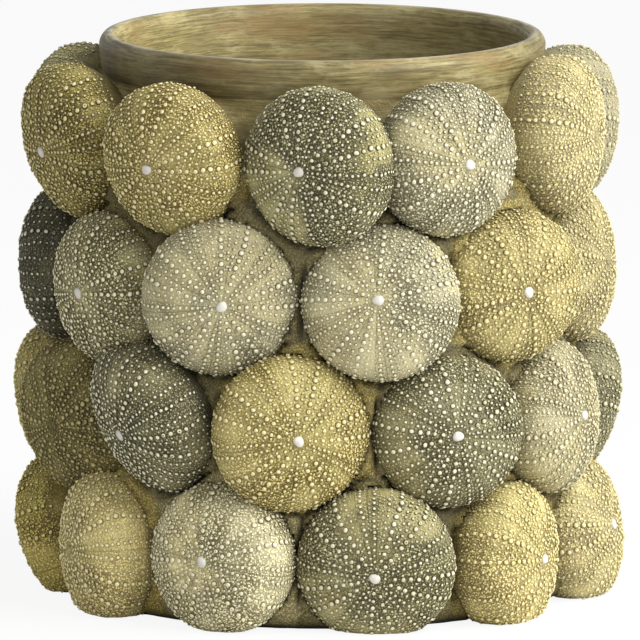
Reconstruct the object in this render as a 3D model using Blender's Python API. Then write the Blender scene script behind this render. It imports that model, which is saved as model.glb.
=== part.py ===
"""Sea urchin vase: a turned pot, a plaster bed round it, and four rows of urchin shells set in the bed.

Metres, +Z up. The origin is the centre of the pot's underside. Azimuth 0 faces -Y and grows towards +X.
"""
import math
from itertools import combinations

import bpy
import bmesh
from mathutils import Matrix, Vector

# Pot
MOUTH_RADIUS = 0.0835
POT_WALL = 0.0045
FLOOR_THICKNESS = 0.010
FLOOR_FILLET = 0.006
FOOT_CHAMFER = 0.0015
LIP_OVERHANG = 0.0034
LIP_ROUND_HEIGHT = 0.0045
BAND_HEIGHT = 0.018
REBATE_DEPTH = 0.0011

# Plaster bed
BED_THICKNESS = 0.0087
BED_SHOULDER_DROP = 0.026
BED_FOOT_DROP = 0.008
BED_FOOT_INSET = 0.005

# Urchin shells, each a full, flattened dome with a white bead in the hole at its pole
SHELL_RADIUS = 0.0318
SHELL_FRONT_DEPTH = 0.0154
SHELL_BACK_DEPTH = 0.024
SHELL_FULLNESS = 2.3
SHELL_STANDOFF = 0.007
BEAD_RADIUS = 0.0023
BEAD_HEIGHT = 0.0010

# The main bosses of a shell, in two rows down each of its five broad zones
BROAD_ZONES = 5
BOSS_RISE = 0.0012

# Rows
BOTTOM_ROW_HEIGHT = 0.027
ROW_PITCH = 0.0543
RIM_ABOVE_TOP_ROW = 0.0401

# Play between pieces
CLEARANCE = 0.0003

# Columns of facets round each turned piece
VESSEL_STEPS = 48
COLUMNS_TO_A_ZONE = 4
SHELL_STEPS = BROAD_ZONES * COLUMNS_TO_A_ZONE
LIP_ARC_STEPS = 6
SHOULDER_STEPS = 4

# Rings of facets on a dome, as shares of a quarter turn: from the pole to the rim, and behind the rim
FRONT_SHARES = (0.0, 0.14, 0.29, 0.45, 0.63, 0.83)
BACK_SHARES = (0.88, 0.68, 0.0)

# Colours of the glazes, linear RGB
GLAZES = {
    "pot_glaze": (0.300, 0.250, 0.130),
    "plaster": (0.330, 0.270, 0.150),
    "charcoal": (0.150, 0.145, 0.095),
    "moss": (0.230, 0.215, 0.140),
    "pale": (0.430, 0.400, 0.270),
    "ochre": (0.480, 0.400, 0.170),
    "olive": (0.290, 0.245, 0.100),
    "sand": (0.430, 0.380, 0.230),
}

# How the maker's hand set each shell. In a row, the shells go round from the first azimuth in even steps.
# turn: degrees on from the even step. rise, out and grow: millimetres up, outward and in radius.
# lean and tip: degrees that the pole leans sideways and upward from straight out.
# star: degrees that the middle of one broad zone is turned round the pole.
ROWS_FROM_TOP = (
    dict(
        first=-108,
        turn=(2, 0, 0, -1, -7, -4, -6, -5, -2, 0),
        rise=(0, 0, 0, 0, 1, 4, 0, -1, 1, 0),
        out=(1, 2, 0, 0, 0, 0, 0, 0, 0, 0),
        grow=(0, 0, -1, 0, -1, 0, 0, 1, 0, 1),
        lean=(-14, 9, -2, -29, 6, 4, 10, -6, 12, -9),
        tip=(2, -13, -9, -1, -1, -1, -7, 4, -6, 5),
        star=(20, 48, 12, 30, 60, 8, 35, 52, 17, 66),
        glaze=("charcoal", "olive", "ochre", "charcoal", "pale",
               "ochre", "ochre", "moss", "sand", "olive"),
    ),
    dict(
        first=-90,
        turn=(-1, -2, -5, -5, -7, -8, -6, -5, -4, -3),
        rise=(0, -2, 0, -1, 1, 2, 0, -1, 1, 0),
        out=(1, 0, 0, 0, 0, -1, 1, 0, 0, 1),
        grow=(0, -1, 0, 0, -1, 0, 0, 1, 0, 0),
        lean=(-19, 1, 24, -17, -19, -9, 8, -12, 15, -5),
        tip=(-3, -3, -6, 12, -3, 5, 4, -8, 3, 6),
        star=(40, 15, 8, 25, 58, 33, 10, 62, 28, 45),
        glaze=("charcoal", "moss", "pale", "pale", "ochre",
               "ochre", "pale", "charcoal", "ochre", "sand"),
    ),
    dict(
        first=-108,
        turn=(8, 3, -6, -7, -7, -9, -8, -6, -2, 2),
        rise=(-6, -4, 2, 0, -1, -2, -7, 0, 1, -1),
        out=(5, 1, 0, 0, 0, 0, 0, 0, 0, 0),
        grow=(0, 0, 0, 0, -1, -1, 0, 1, 1, 1),
        lean=(-6, 20, -17, 19, -13, 2, 10, -10, 9, -4),
        tip=(-13, -9, -23, -3, 1, 4, -17, -5, 2, -9),
        star=(50, 22, 64, 10, 38, 55, 18, 30, 6, 42),
        glaze=("olive", "olive", "charcoal", "ochre", "moss",
               "sand", "moss", "ochre", "pale", "charcoal"),
    ),
    dict(
        first=-90,
        turn=(-4, -4, -5, -6, -7, -8, -7, -6, -6, -5),
        rise=(-4, -1, 2, 0, -2, 0, 0, 1, -1, 0),
        out=(-1, 0, 0, 0, 0, 2, 1, 0, 0, 0),
        grow=(1, 0, -1, 0, -1, -1, 0, 0, 0, 0),
        lean=(-24, -13, -8, -14, 19, -10, 7, -9, 14, -6),
        tip=(-21, -1, 3, -10, 1, 9, -3, 6, -7, 4),
        star=(12, 44, 28, 60, 20, 36, 52, 8, 68, 24),
        glaze=("olive", "ochre", "pale", "moss", "ochre",
               "ochre", "sand", "olive", "moss", "pale"),
    ),
)

TOP_ROW_HEIGHT = BOTTOM_ROW_HEIGHT + ROW_PITCH * (len(ROWS_FROM_TOP) - 1)
POT_HEIGHT = TOP_ROW_HEIGHT + RIM_ABOVE_TOP_ROW
NECK_RADIUS = MOUTH_RADIUS + POT_WALL
BAND_FOOT_RADIUS = NECK_RADIUS + REBATE_DEPTH
LIP_RADIUS = NECK_RADIUS + LIP_OVERHANG
BAND_FOOT_HEIGHT = POT_HEIGHT - BAND_HEIGHT
LIP_SPRING = POT_HEIGHT - LIP_ROUND_HEIGHT
BED_INNER_RADIUS = NECK_RADIUS + CLEARANCE
BED_RADIUS = BED_INNER_RADIUS + BED_THICKNESS
BED_TOP = BAND_FOOT_HEIGHT - CLEARANCE
SHELL_CENTRE_RADIUS = BED_RADIUS + SHELL_STANDOFF
MILLIMETRE = 0.001
SHARP_EDGE = math.radians(35)


def clear_scene():
    for leftover in list(bpy.data.objects):
        bpy.data.objects.remove(leftover, do_unlink=True)


def glaze_material(name):
    """A matt, slightly rough glaze in one of the palette's colours."""
    if name in bpy.data.materials:
        return bpy.data.materials[name]
    material = bpy.data.materials.new(name)
    material.use_nodes = True
    shader = material.node_tree.nodes["Principled BSDF"]
    shader.inputs["Base Color"].default_value = (*GLAZES[name], 1.0)
    shader.inputs["Roughness"].default_value = 0.75
    shader.inputs["Metallic"].default_value = 0.0
    return material


def turned_mesh(name, profile, steps):
    """Spins a closed or pole-to-pole profile of (radius, height) points about Z."""
    shape = bmesh.new()
    points = [shape.verts.new((radius, 0.0, height)) for radius, height in profile]
    edges = [shape.edges.new(pair) for pair in zip(points, points[1:])]
    bmesh.ops.spin(
        shape, geom=points + edges, cent=(0, 0, 0), axis=(0, 0, 1),
        angle=math.tau, steps=steps, use_merge=True,
    )
    bmesh.ops.remove_doubles(shape, verts=shape.verts, dist=1e-6)
    bmesh.ops.recalc_face_normals(shape, faces=shape.faces)
    mesh = bpy.data.meshes.new(name)
    shape.to_mesh(mesh)
    shape.free()
    mesh.shade_smooth()
    mesh.set_sharp_from_angle(angle=SHARP_EDGE)
    return mesh


def add_object(name, mesh, glaze=None):
    part = bpy.data.objects.new(name, mesh)
    bpy.context.scene.collection.objects.link(part)
    if glaze:
        mesh.materials.append(glaze_material(glaze))
    return part


def add_guide(name, mesh):
    """A cutting shape, which isn't a piece of the vase."""
    guide = add_object(name, mesh)
    guide.hide_render = True
    guide.display_type = "WIRE"
    return guide


def cut_by(part, guide):
    cut = part.modifiers.new(f"clear_of_{guide.name}", "BOOLEAN")
    cut.operation = "DIFFERENCE"
    cut.solver = "EXACT"
    cut.object = guide


def lip_arc():
    """The rounded lip, from its outer side over the crest to the mouth."""
    middle = (LIP_RADIUS + MOUTH_RADIUS) / 2
    half_width = (LIP_RADIUS - MOUTH_RADIUS) / 2
    turns = [math.pi * step / LIP_ARC_STEPS for step in range(LIP_ARC_STEPS + 1)]
    return [
        (middle + half_width * math.cos(turn), LIP_SPRING + LIP_ROUND_HEIGHT * math.sin(turn))
        for turn in turns
    ]


def band(clearance=0.0):
    """The gently bellied band under the lip, from its foot up."""
    belly_radius = (BAND_FOOT_RADIUS + LIP_RADIUS * 2) / 3
    belly_height = (BAND_FOOT_HEIGHT + LIP_SPRING) / 2
    return [
        (BAND_FOOT_RADIUS + clearance, BAND_FOOT_HEIGHT),
        (belly_radius + clearance, belly_height),
    ]


def make_pot():
    outside = [
        (0.0, 0.0),
        (NECK_RADIUS - FOOT_CHAMFER, 0.0),
        (NECK_RADIUS, FOOT_CHAMFER),
        (NECK_RADIUS, BAND_FOOT_HEIGHT),
    ]
    inside = [
        (MOUTH_RADIUS, FLOOR_THICKNESS + FLOOR_FILLET),
        (MOUTH_RADIUS - FLOOR_FILLET, FLOOR_THICKNESS),
        (0.0, FLOOR_THICKNESS),
    ]
    profile = outside + band() + lip_arc() + inside
    add_object("pot", turned_mesh("pot", profile, VESSEL_STEPS), "pot_glaze")


def bed_shoulder(clearance):
    """From the full thickness of the bed up to its thin top edge, easing in and out."""
    edge_radius = BAND_FOOT_RADIUS
    points = []
    for step in range(SHOULDER_STEPS + 1):
        share = step / SHOULDER_STEPS
        ease = (1 - math.cos(math.pi * share)) / 2
        radius = BED_RADIUS + (edge_radius - BED_RADIUS) * ease
        points.append((radius + clearance, BED_TOP - BED_SHOULDER_DROP * (1 - share)))
    return points


def make_plaster_bed():
    outside = [
        (BED_INNER_RADIUS, 0.0),
        (BED_RADIUS - BED_FOOT_INSET, 0.0),
        (BED_RADIUS, BED_FOOT_DROP),
    ]
    profile = outside + bed_shoulder(0.0) + [(BED_INNER_RADIUS, BED_TOP), (BED_INNER_RADIUS, 0.0)]
    add_object("plaster_bed", turned_mesh("plaster_bed", profile, VESSEL_STEPS), "plaster")


def core_guide():
    """The outline of bed and pot with its clearance, which the backs of the shells are hollowed to."""
    below = -BED_FOOT_DROP
    above = POT_HEIGHT + SHELL_RADIUS
    profile = (
        [(0.0, below), (BED_RADIUS + CLEARANCE, below)]
        + bed_shoulder(CLEARANCE)
        + band(CLEARANCE)
        + [(LIP_RADIUS + CLEARANCE, LIP_SPRING), (LIP_RADIUS + CLEARANCE, above), (0.0, above)]
    )
    return add_guide("core_guide", turned_mesh("core_guide", profile, VESSEL_STEPS))


def ground_guide():
    """A slab under the vase, whose top is the surface that it stands on."""
    half_side = SHELL_CENTRE_RADIUS + SHELL_RADIUS * 2
    depth = SHELL_RADIUS * 2
    shape = bmesh.new()
    size = Matrix.Diagonal((half_side * 2, half_side * 2, depth, 1))
    bmesh.ops.create_cube(shape, size=1.0, matrix=Matrix.Translation((0, 0, -depth / 2)) @ size)
    mesh = bpy.data.meshes.new("ground_guide")
    shape.to_mesh(mesh)
    shape.free()
    return add_guide("ground_guide", mesh)


def dome_point(share, radius, depth):
    """A point on a superellipse quarter, from the pole at share 0 to the rim at share 1."""
    power = 2 / SHELL_FULLNESS
    angle = share * math.pi / 2
    return radius * math.sin(angle) ** power, depth * max(math.cos(angle), 0.0) ** power


def dome_profile(radius, margin=0.0):
    """From a dome's pole over its rim to its back, all of it grown by a margin."""
    wide = radius + margin
    front = [dome_point(share, wide, SHELL_FRONT_DEPTH + margin) for share in FRONT_SHARES]
    back = [dome_point(share, wide, SHELL_BACK_DEPTH + margin) for share in BACK_SHARES]
    return front + [(wide, 0.0)] + [(across, -along) for across, along in back]


def shell_mesh(name, radius):
    """A dome with the bead standing on its pole and the main bosses raised from its facets.

    Of the four columns of facets in each fifth of a turn, the two beside the middle of the broad zone
    carry bosses. A facet is in one of them where the cosine of five times its angle is positive.
    """
    pole, *rest = dome_profile(radius)
    height = pole[1]
    bead = [(0.0, height + BEAD_HEIGHT), (BEAD_RADIUS, height)]
    mesh = turned_mesh(name, bead + rest, SHELL_STEPS)
    first_ring, last_ring = rest[0], rest[-3]
    shape = bmesh.new()
    shape.from_mesh(mesh)
    bosses = []
    for face in shape.faces:
        centre = face.calc_center_median()
        angle = math.atan2(centre.y, centre.x)
        beyond_bead = centre.z < first_ring[1]
        before_back = centre.z > last_ring[1]
        if beyond_bead and before_back and math.cos(BROAD_ZONES * angle) > 0:
            bosses.append(face)
    foot_edges = {edge for face in bosses for edge in face.edges}
    bmesh.ops.poke(shape, faces=bosses, offset=BOSS_RISE)
    for edge in foot_edges:
        edge.smooth = False
    shape.to_mesh(mesh)
    shape.free()
    return mesh


def dome_place(azimuth, centre_radius, height, lean, tip, star):
    """The place of a dome whose pole points outward with a lean and a tip, turned round its pole by star."""
    outward = Vector((math.sin(azimuth), -math.cos(azimuth), 0))
    sideways = Vector((math.cos(azimuth), math.sin(azimuth), 0))
    pole = outward + sideways * math.tan(lean) + Vector((0, 0, math.tan(tip)))
    aimed = pole.to_track_quat("Z", "Y").to_matrix().to_4x4()
    centre = outward * centre_radius + Vector((0, 0, height))
    return Matrix.Translation(centre) @ aimed @ Matrix.Rotation(star, 4, "Z")


def row_layout(row_number, row):
    """The name, place, radius and glaze of each shell in one row."""
    height = TOP_ROW_HEIGHT - ROW_PITCH * (row_number - 1)
    kinds = ("turn", "rise", "out", "grow", "lean", "tip", "star", "glaze")
    hand = zip(*(row[kind] for kind in kinds))
    for index, (turn, rise, out, grow, lean, tip, star, glaze) in enumerate(hand):
        azimuth = math.radians(row["first"] + turn) + math.tau * index / len(row["turn"])
        place = dome_place(
            azimuth,
            SHELL_CENTRE_RADIUS + out * MILLIMETRE,
            height + rise * MILLIMETRE,
            math.radians(lean),
            math.radians(tip),
            math.radians(star),
        )
        yield f"urchin_row{row_number}_{index + 1:02d}", place, SHELL_RADIUS + grow * MILLIMETRE, glaze


def make_shells():
    """Sets the shells one after another, each hollowed to the core and to the shells set before it."""
    core = core_guide()
    ground = ground_guide()
    shells = []
    for row_number, row in enumerate(ROWS_FROM_TOP, start=1):
        for name, place, radius, glaze in row_layout(row_number, row):
            shell = add_object(name, shell_mesh(name, radius), glaze)
            shell.matrix_world = place
            cut_by(shell, core)
            if place.translation.z < radius:
                cut_by(shell, ground)
            shells.append((shell, radius))
    for (earlier, earlier_radius), (later, later_radius) in combinations(shells, 2):
        apart = (earlier.matrix_world.translation - later.matrix_world.translation).length
        if apart < earlier_radius + later_radius + BOSS_RISE * 2 + CLEARANCE:
            cut_by(later, clearance_guide(earlier, earlier_radius))


def clearance_guide(shell, radius):
    """A shell's own dome, larger by its bosses and the clearance."""
    name = f"{shell.name}_clearance"
    if name in bpy.data.objects:
        return bpy.data.objects[name]
    guide = add_guide(name, turned_mesh(name, dome_profile(radius, BOSS_RISE + CLEARANCE), SHELL_STEPS))
    guide.matrix_world = shell.matrix_world
    return guide


clear_scene()
make_pot()
make_plaster_bed()
make_shells()
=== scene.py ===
"""The looks of the sea urchin vase: forty bossed urchin shells set in brushed plaster round a painted pot.

Metres, +Z up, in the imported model's own frame. Azimuth 0 faces -Y, where the camera stands, and grows
towards +X.
"""
import math
from collections import namedtuple

import bpy
import numpy as np
from mathutils import Matrix, Vector


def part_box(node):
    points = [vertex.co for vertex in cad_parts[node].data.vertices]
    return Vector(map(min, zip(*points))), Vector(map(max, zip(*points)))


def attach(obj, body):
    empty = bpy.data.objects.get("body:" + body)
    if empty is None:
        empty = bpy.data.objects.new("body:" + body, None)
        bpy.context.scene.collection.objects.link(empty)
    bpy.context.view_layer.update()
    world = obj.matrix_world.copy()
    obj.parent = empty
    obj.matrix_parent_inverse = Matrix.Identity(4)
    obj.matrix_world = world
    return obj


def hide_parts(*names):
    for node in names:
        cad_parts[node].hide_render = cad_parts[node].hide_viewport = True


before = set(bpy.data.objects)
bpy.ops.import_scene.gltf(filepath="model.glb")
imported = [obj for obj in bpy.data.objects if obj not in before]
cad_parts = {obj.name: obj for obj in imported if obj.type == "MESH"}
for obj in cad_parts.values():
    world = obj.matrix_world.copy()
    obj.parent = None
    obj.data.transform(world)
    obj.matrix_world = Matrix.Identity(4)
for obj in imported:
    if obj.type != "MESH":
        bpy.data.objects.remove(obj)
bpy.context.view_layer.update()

MM = 0.001
TAU = math.tau
TINY = 1e-9
ROOT = "root"

# Pot and bed, as in the model's source where the frame doesn't give them
POT_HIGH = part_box("pot")[1]
BED_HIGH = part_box("plaster_bed")[1]
POT_HEIGHT = POT_HIGH[2]
LIP_RADIUS = POT_HIGH[0]
BED_RADIUS = BED_HIGH[0]
BED_TOP = BED_HIGH[2]
MOUTH_RADIUS = 0.0835
NECK_RADIUS = 0.0880
BAND_FOOT_RADIUS = 0.0891
BAND_FOOT_HEIGHT = 0.212
LIP_ROUND_HEIGHT = 0.0045
LIP_SPRING = POT_HEIGHT - LIP_ROUND_HEIGHT
LIP_PROUD = 0.6 * MM
FLOOR_THICKNESS = 0.010
FLOOR_FILLET = 0.006
FOOT_CHAMFER = 0.0015
BED_INNER_RADIUS = 0.0883
BED_SHOULDER_DROP = 0.026
BED_FOOT_DROP = 0.008
BED_FOOT_INSET = 0.005

# Shells, as in the model's source
SHELL_RADIUS = 0.0318
SHELL_FRONT_DEPTH = 0.0154
SHELL_BACK_DEPTH = 0.024
SHELL_FULLNESS = 2.3
SHELL_CENTRE_RADIUS = 0.1040
TOP_ROW_HEIGHT = 0.1899
ROW_PITCH = 0.0543

# Each shell as the maker's hand set it: degrees of turn, lean and tip, millimetres of rise, out and grow.
# star is the direction of one broad zone of bosses, in degrees round the shell's own pole.
# skirt is how many millimetres further than its neighbours it pushed the plaster, which took up its glaze.
# A wider skirt is also painted lighter, as painted light on the plaster.
# tone is how much lighter or darker the shell is made than others of its kind: partly its own glaze, and
# partly painted light, lighter on shells in the lamps' shade and darker on some that face the key lamp.
# rub is how bare its bosses' tips are and how dark its hollows: partly real rubbing, and partly painted
# light, low on shells that face the key lamp, as if its light washed them out; above 1 the tips are also
# lighter, as painted highlights. chalk is how much pale wash lies over the glaze: partly dust, and partly
# painted light on shells that face the key lamp.
ROWS_FROM_TOP = (
    dict(
        first=-108,
        turn=(2, 0, 0, -1, -7, -4, -6, -5, -2, 0),
        rise=(0, 0, 0, 0, 1, 4, 0, -1, 1, 0),
        out=(1, 2, 0, 0, 0, 0, 0, 0, 0, 0),
        grow=(0, 0, -1, 0, -1, 0, 0, 1, 0, 1),
        lean=(-14, 9, -2, -29, 6, 4, 10, -6, 12, -9),
        tip=(2, -13, -9, -1, -1, -1, -7, 4, -6, 5),
        star=(20, 48, 12, 30, 60, 8, 35, 52, 17, 66),
        skirt=(1.0, 1.0, 0.5, 0.5, 1.5, 2.0, 1.0, 0.5, 2.0, 1.0),
        tone=(1.40, 1.17, 1.08, 1.75, 0.97, 1.08, 0.64, 1.0, 1.0, 1.0),
        rub=(0.4, 1.0, 1.1, 1.0, 0.75, 0.5, 0.45, 0.8, 0.9, 0.8),
        chalk=(0.0, 0.0, 0.0, 0.0, 0.06, 0.18, 0.36, 0.0, 0.1, 0.0),
        glaze=("charcoal", "olive", "ochre", "charcoal", "pale",
               "ochre", "ochre", "moss", "sand", "olive"),
    ),
    dict(
        first=-90,
        turn=(-1, -2, -5, -5, -7, -8, -6, -5, -4, -3),
        rise=(0, -2, 0, -1, 1, 2, 0, -1, 1, 0),
        out=(1, 0, 0, 0, 0, -1, 1, 0, 0, 1),
        grow=(0, -1, 0, 0, -1, 0, 0, 1, 0, 0),
        lean=(-19, 1, 24, -17, -19, -9, 8, -12, 15, -5),
        tip=(-3, -3, -6, 12, -3, 5, 4, -8, 3, 6),
        star=(40, 15, 8, 25, 58, 33, 10, 62, 28, 45),
        skirt=(1.0, 1.0, 1.2, 1.5, 3.5, 2.0, 2.0, 0.5, 1.5, 2.5),
        tone=(0.66, 1.64, 1.02, 1.13, 1.01, 0.88, 1.0, 1.0, 1.0, 1.0),
        rub=(0.9, 1.2, 1.0, 0.9, 0.5, 0.45, 0.8, 0.9, 0.8, 0.9),
        chalk=(0.0, 0.0, 0.08, 0.08, 0.05, 0.14, 0.1, 0.0, 0.1, 0.0),
        glaze=("charcoal", "moss", "pale", "pale", "ochre",
               "ochre", "pale", "charcoal", "ochre", "sand"),
    ),
    dict(
        first=-108,
        turn=(8, 3, -6, -7, -7, -9, -8, -6, -2, 2),
        rise=(-6, -4, 2, 0, -1, -2, -7, 0, 1, -1),
        out=(5, 1, 0, 0, 0, 0, 0, 0, 0, 0),
        grow=(0, 0, 0, 0, -1, -1, 0, 1, 1, 1),
        lean=(-6, 20, -17, 19, -13, 2, 10, -10, 9, -4),
        tip=(-13, -9, -23, -3, 1, 4, -17, -5, 2, -9),
        star=(50, 22, 64, 10, 38, 55, 18, 30, 6, 42),
        skirt=(1.0, 0.5, 2.0, 2.5, 2.0, 2.0, 0.5, 1.5, 2.5, 0.5),
        tone=(1.70, 0.70, 1.50, 1.08, 1.05, 0.95, 1.15, 1.0, 1.0, 1.0),
        rub=(0.5, 0.35, 1.15, 0.9, 1.0, 0.6, 0.55, 0.8, 0.9, 0.9),
        chalk=(0.1, 0.0, 0.0, 0.0, 0.0, 0.08, 0.05, 0.2, 0.0, 0.0),
        glaze=("olive", "olive", "charcoal", "ochre", "moss",
               "sand", "moss", "ochre", "pale", "charcoal"),
    ),
    dict(
        first=-90,
        turn=(-4, -4, -5, -6, -7, -8, -7, -6, -6, -5),
        rise=(-4, -1, 2, 0, -2, 0, 0, 1, -1, 0),
        out=(-1, 0, 0, 0, 0, 2, 1, 0, 0, 0),
        grow=(1, 0, -1, 0, -1, -1, 0, 0, 0, 0),
        lean=(-24, -13, -8, -14, 19, -10, 7, -9, 14, -6),
        tip=(-21, -1, 3, -10, 1, 9, -3, 6, -7, 4),
        star=(12, 44, 28, 60, 20, 36, 52, 8, 68, 24),
        skirt=(1.0, 2.5, 2.5, 2.5, 1.5, 1.0, 1.5, 0.5, 1.0, 2.0),
        tone=(1.90, 1.50, 1.70, 1.25, 1.25, 1.12, 1.0, 1.0, 1.0, 1.0),
        rub=(0.5, 1.25, 1.0, 1.0, 0.5, 0.4, 0.8, 0.9, 0.8, 0.9),
        chalk=(0.0, 0.12, 0.0, 0.0, 0.07, 0.18, 0.1, 0.0, 0.0, 0.0),
        glaze=("olive", "ochre", "pale", "moss", "ochre",
               "ochre", "sand", "olive", "moss", "pale"),
    ),
)

# Shell surface: columns round the pole, and the spacing of the rings in front of the rim and behind it
SHELL_COLUMNS = 70
FRONT_RING_SPACING = 1.5 * MM
BACK_RING_SPACING = 3.0 * MM
OUTLINE_SAMPLES = 1500
SHELL_WAVE = 0.16 * MM
WAVE_COUNT = 7
WAVE_FADE = 8.0 * MM
PRESSED_IN = 1.0 * MM
PRESS_STEPS = 28
GROUND_RELIEF = 0.3
BARE_BEHIND_RIM = 4.0 * MM
BARE_FADE = 7.0 * MM

# Rows of bosses, each on both sides of the middle of a broad zone: degrees from it, where the row starts
# as a share of the way to the rim, pitch and radius of the foot in millimetres
PRIMARY_ROWS = ((10.3, 0.17, 3.20, 1.32),)
SECONDARY_ROWS = ((30.6, 0.16, 2.40, 1.04), (18.9, 0.25, 2.55, 0.90), (2.8, 0.40, 2.80, 0.84))
MINOR_ROWS = (
    (14.6, 0.38, 2.10, 0.62), (6.5, 0.36, 2.20, 0.62), (22.9, 0.34, 1.75, 0.56),
    (26.8, 0.42, 1.65, 0.52), (34.2, 0.50, 1.80, 0.54),
)
COLLAR_RADIUS = 4.5 * MM
COLLAR_FOOT = 0.72 * MM
COLLAR_COUNT = 17
ROWS_BEHIND_RIM = 11.0 * MM
GRANULE_FOOT = 0.39 * MM
GRANULE_PITCH = 1.18 * MM
GRANULE_JITTER = 0.27
FIRST_GRANULES = 3.3 * MM

# How far a row's start and each of its bosses are off their places, as shares of the pitch and in radians,
# and how much room a smaller boss needs beside a larger one, as a share of its own radius
START_JITTER = 0.15
STEP_JITTER = 0.09
ANGLE_JITTER = 0.014
MINOR_ROOM = 0.7
GRANULE_ROOM = 0.75

# Forms of bosses: rings of (share of radius, share of height, relief) from the foot to the tip
PRIMARY_FORM = (
    (1.00, -0.10, 0.00), (0.70, 0.22, 0.22), (0.68, 0.46, 0.92), (0.44, 0.64, 1.00), (0.00, 0.70, 1.00),
)
SECONDARY_FORM = ((1.00, -0.14, 0.00), (0.66, 0.24, 0.35), (0.56, 0.54, 1.00), (0.00, 0.70, 1.00))
MINOR_FORM = ((1.00, -0.14, 0.05), (0.62, 0.38, 0.70), (0.00, 0.60, 0.90))
GRANULE_FORM = ((1.00, -0.10, 0.03), (0.00, 0.70, 0.92))
GRANULE_SIDES = 4
# Form, sides and share that is broken, for primary, secondary and minor bosses and for granules
BOSS_KINDS = (
    (PRIMARY_FORM, 7, 0.06), (SECONDARY_FORM, 6, 0.02), (MINOR_FORM, 5, 0.0),
    (GRANULE_FORM, GRANULE_SIDES, 0.0),
)
BROKEN_HEIGHT = 0.62
BROKEN_RELIEF = 0.05

# White bead in the hole at each pole; the glaze ran over a few of them
BEADS_GLAZED_OVER = ("row1_06", "row2_06", "row3_02", "row4_02")
BEAD_RADIUS = 2.2 * MM
BEAD_HEIGHT = 1.1 * MM
BEAD_COLUMNS = 20
BEAD_RINGS = 7

# Plaster between the shells: how it fills the gaps, and how far each shell's skirt of it reaches
BED_COLUMNS = 470
BED_ROWS = 142
FILLET_REACH = 4.5 * MM
PLAIN_REACH = 0.2 * MM
FILLET_SHRINK = 1.0 * MM
FILLET_LIMIT = 0.1065
FILLET_STEPS = 14
GAP_RISE = 7.0 * MM
TERRITORY_DEPTH = 0.7 * GAP_RISE
GAP_OPEN = 5.0 * MM
GAP_REACH = 9.0 * MM
UPWARD_REACH = 1.6 * MM
SIDE_REACH = 1.5 * MM
WIDEST_SKIRT = 3.5 * MM
CREVICE_DEPTH = 5.0 * MM
CREVICE_WIDTH = 0.9 * MM
NARROW_GAP = 5.0 * MM
WIDE_GAP = 11.0 * MM
SMOOTHED_SHARE = 0.85
ROWS_FADE_TOP = 14.0 * MM
ROWS_FADE_FOOT = 4.0 * MM
SHELL_HALF_ANGLE = 0.52

# How light the plaster is painted, all painted light and shade: least, more where it stands proud and
# catches the light, most on a wide skirt, less in a tight gap or beside a seam, where shade falls
LEAST_TONE = 0.07
PROUD_TONE = 0.12
SKIRT_TONE = 0.65
PROUD_REACH = 6.0 * MM
SEAM_DARK = 0.80
SEAM_WIDTH = 1.5 * MM
TIGHT_TONE = 0.35
TIGHT_GAP = 4.0 * MM
OPEN_WALL_FADE = 60.0 * MM
GLAZE_SHARE = 0.6

# Plaster over the foot of the pot's band, and its ripples
LAP_TOP = 0.2192
LAP_ROWS = 7
LAP_PROUD = 0.35 * MM
LAP_SUNK = 0.25 * MM
LAP_WAVER = 0.12 * MM
RIPPLE = 0.045 * MM
RIPPLES = 14

# Granules strewn over the plaster
STREWN = 44000
STREWN_LOW = 1 * MM
STREWN_HIGH = BED_TOP - 22 * MM
STREWN_GAP = 0.6 * MM
STREWN_MARGIN = 0.25 * MM

# A boss is kept if its foot is so far above the floor and outside the other shells, and if it isn't buried
# deeper in the plaster than this
FLOOR_CLEAR = 0.5 * MM
SHELL_CLEAR = 0.1 * MM
BURIED = 0.8 * MM

# Pot: columns round it, and steps along its lip, its band, its inside and its floor's fillet
POT_COLUMNS = 180
LIP_STEPS = 17
BAND_STEPS = 10
INSIDE_STEPS = 46
FLOOR_STEPS = 7
BELLY = 0.35 * MM

# Glazes: shaded, plain and light tone of the ground, tone of its patches, and of the boss tips, linear RGB
GLAZES = {
    "charcoal": ((0.030, 0.027, 0.010), (0.158, 0.144, 0.063), (0.270, 0.250, 0.130),
                 (0.230, 0.200, 0.076), (0.720, 0.682, 0.516)),
    "moss": ((0.050, 0.044, 0.014), (0.232, 0.210, 0.093), (0.370, 0.340, 0.182),
             (0.300, 0.258, 0.100), (0.715, 0.668, 0.494)),
    "pale": ((0.100, 0.086, 0.034), (0.418, 0.382, 0.230), (0.560, 0.518, 0.328),
             (0.440, 0.378, 0.172), (0.730, 0.682, 0.517)),
    "ochre": ((0.135, 0.098, 0.020), (0.535, 0.438, 0.134), (0.640, 0.545, 0.225),
              (0.360, 0.305, 0.104), (0.710, 0.638, 0.370)),
    "olive": ((0.066, 0.048, 0.008), (0.325, 0.261, 0.058), (0.450, 0.378, 0.120),
              (0.220, 0.188, 0.052), (0.690, 0.611, 0.350)),
    "sand": ((0.125, 0.105, 0.040), (0.478, 0.428, 0.222), (0.600, 0.545, 0.320),
             (0.480, 0.408, 0.172), (0.725, 0.672, 0.472)),
}
# Pale wash over some shells: partly dust, and partly painted light on those that face the key lamp
CHALK_AND_HIGHLIGHT = (0.640, 0.610, 0.440)
BEAD_WHITE = (0.68, 0.66, 0.61)
BEAD_CLOUD = (0.60, 0.56, 0.49)
BARE_PLASTER = (0.300, 0.235, 0.095)
# Grey of the painted sheen along the crest of the lip
LIP_SHEEN = (0.37, 0.35, 0.28)

# Brush strokes on the pot and on the plaster under its band: dark, plain, pale and rust
POT_STROKES = ((0.095, 0.075, 0.024), (0.305, 0.248, 0.092), (0.510, 0.446, 0.228), (0.290, 0.185, 0.068))
BED_STROKES = ((0.085, 0.066, 0.019), (0.265, 0.218, 0.078), (0.400, 0.340, 0.155), (0.240, 0.160, 0.055))

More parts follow.
